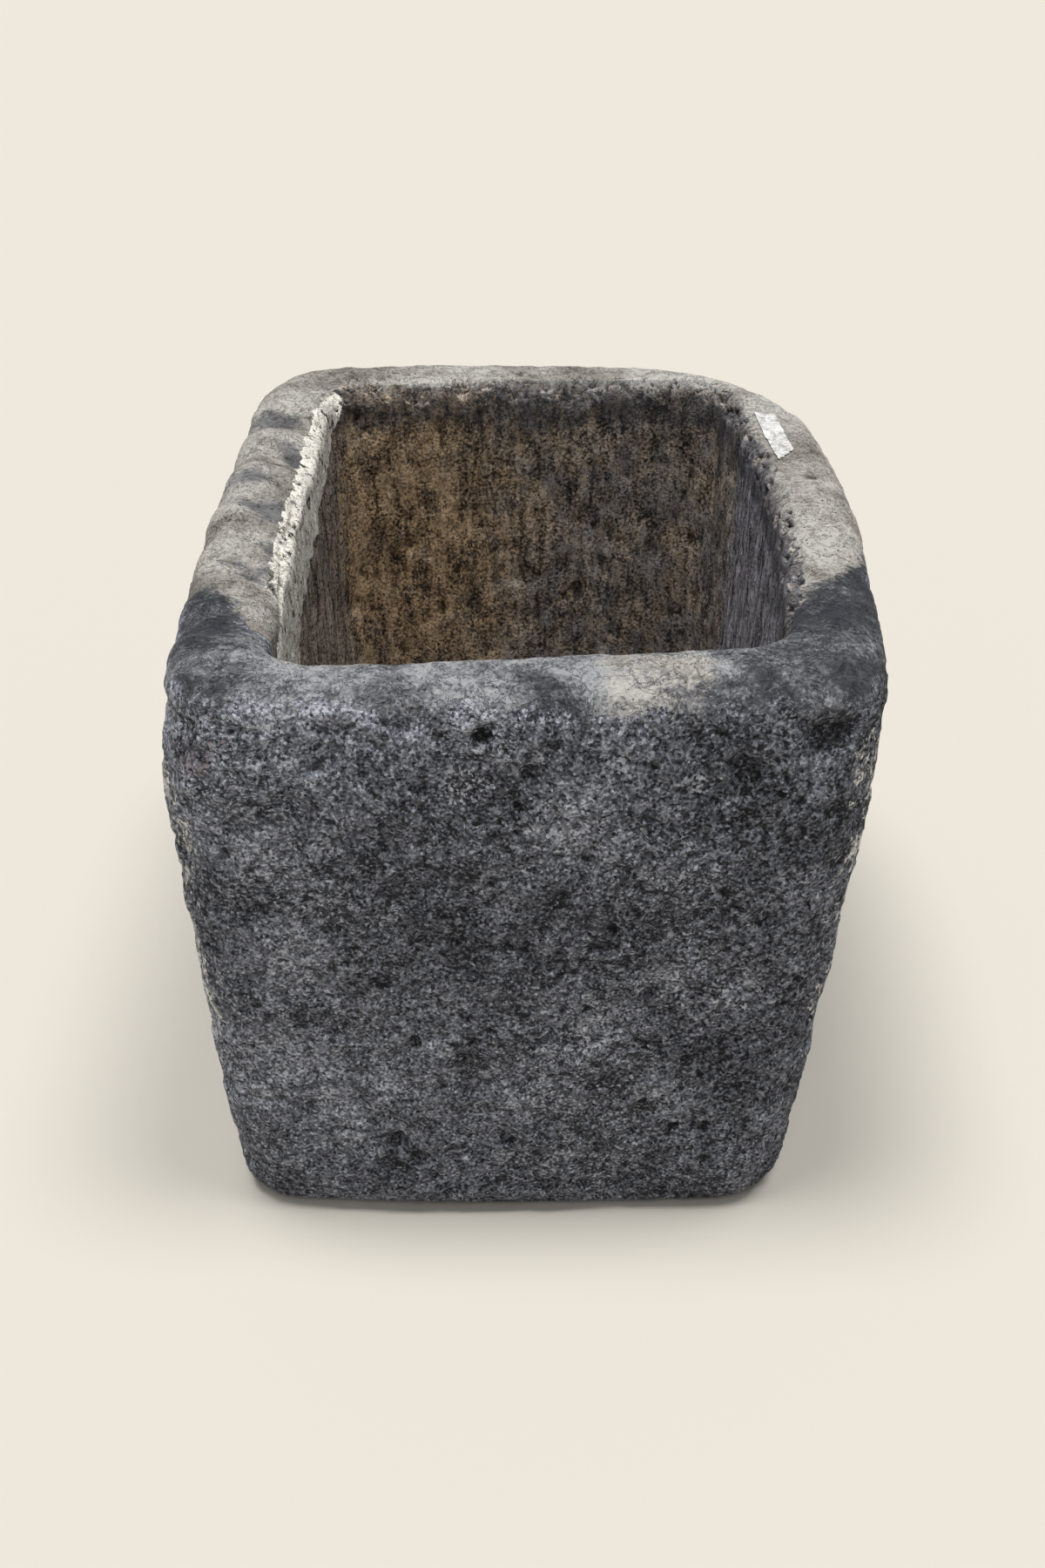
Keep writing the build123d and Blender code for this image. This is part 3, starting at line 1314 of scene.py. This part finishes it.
    def dress(self, piece: bpy.types.Object) -> None:
        """Store the zones on the stone, and give it its finish.

        Args:
            piece: The carved stone.
        """
        values = {zone: [] for zone in Zone}
        form = bmesh.new()
        form.from_mesh(piece.data)
        form.normal_update()
        for vertex in form.verts:
            found = self.zones(vertex.co, vertex.normal)
            around = [edge.other_vert(vertex).co for edge in vertex.link_edges]
            middle = sum(around, Vector()) / len(around)
            found[Zone.CAVITY] = (middle - vertex.co).dot(vertex.normal)
            for zone, value in found.items():
                values[zone].append(value)
        form.free()
        for zone, stored in values.items():
            layer = piece.data.attributes.new(zone.value, "FLOAT", "POINT")
            layer.data.foreach_set("value", stored)
        piece.data.materials.clear()
        piece.data.materials.append(self.finish.build())
        for polygon in piece.data.polygons:
            polygon.use_smooth = True

    def build(self, node: bpy.types.Object) -> bpy.types.Object:
        """Carve and dress the trough, and set it in the frame.

        Args:
            node: The plain form in the frame.

        Returns:
            The finished stone.
        """
        piece = self.carve(node)
        self.dress(piece)
        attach(piece, "root")
        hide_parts(STONE_NODE)
        return piece


@dataclass
class PaperTag:
    """The blank strip of paper that is pasted on the rim and follows its worn surface."""

    middle: Vector
    width: float = 0.0195
    length: float = 0.124
    near_tear: float = 0.028
    far_tear: float = 0.005
    turn: float = 4.0
    thickness: float = 0.0004
    lift: float = 0.0005
    tear_roughness: float = 0.0028
    edge_roughness: float = 0.0005
    wrinkle_height: float = 0.0004
    corner_lift: float = 0.0006
    smoothings: int = 2
    columns: int = 26
    rows: int = 130
    finish: PaperFinish = field(default_factory=PaperFinish)

    def outline(self, across: float, lengthwise: float) -> Vector:
        """Plan place of a point of the sheet.

        Args:
            across: Share of the width, from -0.5 at the inner edge to 0.5.
            lengthwise: Share of the length, from -0.5 at the near end to 0.5.

        Returns:
            Place in metres, at no height.
        """
        tear = (across + 0.5) * (self.near_tear if lengthwise < 0.0 else self.far_tear)
        end = 2.0 * abs(lengthwise)
        torn = Vector((across * 9.0, math.copysign(7.0, lengthwise), 0.0))
        ragged = self.tear_roughness * noise.fractal(torn, 0.6, 2.1, 3)
        y = math.copysign(self.length / 2.0 - tear + ragged, lengthwise) * end
        cut = Vector((math.copysign(3.0, across), y * 160.0, 0.0))
        edge = self.edge_roughness * noise.noise(cut)
        x = across * self.width + edge * smooth(0.35, 0.5, abs(across))
        angle = math.radians(self.turn)
        return Vector(
            (
                self.middle.x + x * math.cos(angle) - y * math.sin(angle),
                self.middle.y + x * math.sin(angle) + y * math.cos(angle),
                0.0,
            )
        )

    def build(self, stone: bpy.types.Object) -> bpy.types.Object:
        """Lay the sheet on the finished stone, thicken it and dress it.

        Args:
            stone: The finished stone.

        Returns:
            The sheet, at the origin.
        """
        surface = BVHTree.FromObject(stone, bpy.context.evaluated_depsgraph_get())
        sheet = bmesh.new()
        bmesh.ops.create_grid(sheet, x_segments=self.columns, y_segments=self.rows, size=0.5)
        for vertex in sheet.verts:
            place = self.outline(vertex.co.x, vertex.co.y)
            hit = surface.ray_cast(Vector((place.x, place.y, 1.0)), Vector((0.0, 0.0, -1.0)))[0]
            corner = smooth(0.80, 1.0, 2.0 * abs(vertex.co.y)) * smooth(0.5, 1.0, 2.0 * abs(vertex.co.x))
            wrinkle = self.wrinkle_height * (1.0 + noise.fractal(place * 120.0, 0.6, 2.1, 2))
            height = hit.z + self.lift + wrinkle + self.corner_lift * corner
            vertex.co = Vector((place.x, place.y, height))
        for _ in range(self.smoothings):
            bmesh.ops.smooth_vert(sheet, verts=sheet.verts, factor=0.5, use_axis_z=True)
        bmesh.ops.solidify(sheet, geom=sheet.faces, thickness=-self.thickness)
        bmesh.ops.recalc_face_normals(sheet, faces=sheet.faces)
        mesh = bpy.data.meshes.new("torn_paper_tag")
        sheet.to_mesh(mesh)
        sheet.free()
        mesh.materials.append(self.finish.build())
        for polygon in mesh.polygons:
            polygon.use_smooth = True
        piece = bpy.data.objects.new("torn_paper_tag", mesh)
        bpy.context.scene.collection.objects.link(piece)
        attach(piece, "root")
        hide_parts(TAG_NODE)
        return piece


@dataclass
class Studio:
    """Floor, light and camera."""

    eye: tuple = (-0.008, -1.429, 1.130)
    look_down: float = 32.0
    lens: float = 40.52
    sensor_width: float = 36.0
    far_clip: float = 100.0
    floor_size: float = 60.0
    sky: tuple = (1.0, 1.0, 1.0)
    sky_strength: float = 0.20
    finish: FloorFinish = field(default_factory=FloorFinish)

    def lay_floor(self) -> None:
        """Lay the plain floor under the trough."""
        mesh = bpy.data.meshes.new("studio_floor")
        plane = bmesh.new()
        bmesh.ops.create_grid(plane, x_segments=1, y_segments=1, size=self.floor_size / 2.0)
        plane.to_mesh(mesh)
        plane.free()
        floor = bpy.data.objects.new("studio_floor", mesh)
        mesh.materials.append(self.finish.build())
        bpy.context.scene.collection.objects.link(floor)

    def add_sun(self, name: str, rise: float, bearing: float, strength: float, spread: float) -> None:
        """Add a soft distant light.

        Args:
            name: Name of the light.
            rise: Height over the horizon, in degrees.
            bearing: Where it stands, in degrees from the front towards the right.
            strength: Irradiance.
            spread: Width of the light seen from the trough, in degrees.
        """
        data = bpy.data.lights.new(name, "SUN")
        data.energy = strength
        data.angle = math.radians(spread)
        lamp = bpy.data.objects.new(name, data)
        lamp.rotation_euler = (math.radians(90.0 - rise), 0.0, math.radians(bearing))
        bpy.context.scene.collection.objects.link(lamp)

    def light(self) -> None:
        """Set the even sky, and the high soft lights at both sides and in front."""
        world = bpy.data.worlds.new("studio_sky")
        world.use_nodes = True
        background = world.node_tree.nodes["Background"]
        background.inputs["Color"].default_value = (*self.sky, 1.0)
        background.inputs["Strength"].default_value = self.sky_strength
        bpy.context.scene.world = world
        self.add_sun("left_key", rise=79.0, bearing=-74.0, strength=2.32, spread=21.0)
        self.add_sun("right_fill", rise=75.0, bearing=74.0, strength=1.64, spread=19.0)
        self.add_sun("high_front", rise=55.0, bearing=0.0, strength=0.35, spread=20.0)

    def place_camera(self) -> None:
        """Place the camera at the photograph's viewing angle."""
        data = bpy.data.cameras.new("studio_camera")
        data.lens = self.lens
        data.sensor_width = self.sensor_width
        data.clip_end = self.far_clip
        camera = bpy.data.objects.new("studio_camera", data)
        camera.location = self.eye
        camera.rotation_euler = (math.radians(90.0 - self.look_down), 0.0, 0.0)
        bpy.context.scene.collection.objects.link(camera)
        bpy.context.scene.camera = camera

    def build(self) -> None:
        """Set up the whole studio."""
        self.place_camera()
        self.lay_floor()
        self.light()
        bpy.context.scene.view_settings.view_transform = "Standard"


def main() -> None:
    """Build the studio, the stone and the tag."""
    logging.basicConfig(level=logging.INFO, format="%(name)s: %(message)s")
    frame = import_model()
    Studio().build()
    lowest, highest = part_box(STONE_NODE)
    stone = Trough(lowest=lowest, highest=highest).build(frame["nodes"][STONE_NODE])
    tag_low, tag_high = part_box(TAG_NODE)
    tag = PaperTag(middle=(tag_low + tag_high) / 2.0).build(stone)
    for piece in (stone, tag):
        triangles = sum(len(polygon.vertices) - 2 for polygon in piece.data.polygons)
        LOG.info("%s has %d triangles", piece.name, triangles)


if __name__ == "__main__":
    main()
